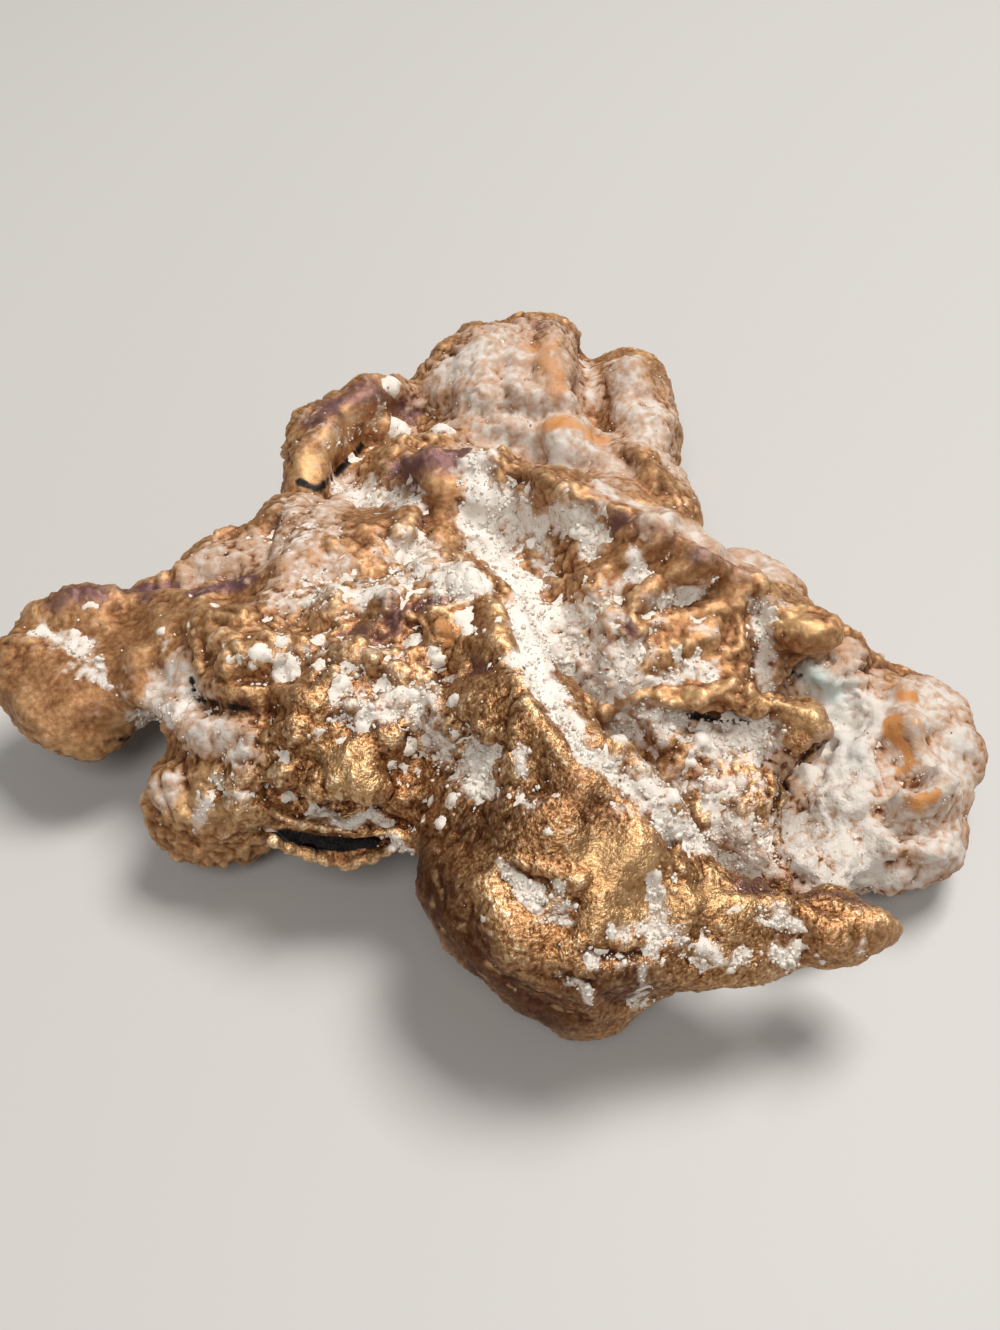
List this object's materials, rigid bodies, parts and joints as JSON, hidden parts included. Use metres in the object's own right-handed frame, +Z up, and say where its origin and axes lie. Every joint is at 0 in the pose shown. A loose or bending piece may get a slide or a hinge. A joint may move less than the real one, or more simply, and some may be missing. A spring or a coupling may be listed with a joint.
{
  "type": "copper nugget",
  "caption": "Lobed, crumpled lump of native copper with a fluted top, a blunt horn at the front and pale mineral crust in its hollows, resting on worn spots below.",
  "frame": {"origin": "on the ground, under the middle of the footprint", "axes": "+Z up, +X to the right of the horned front, +Y from the front towards the back hump"},
  "size_m": [0.0842, 0.0868, 0.0227],
  "materials": {
    "native_copper": null
  },
  "bodies": {
    "root": {"copper_nugget": "native_copper"}
  },
  "joints": []
}
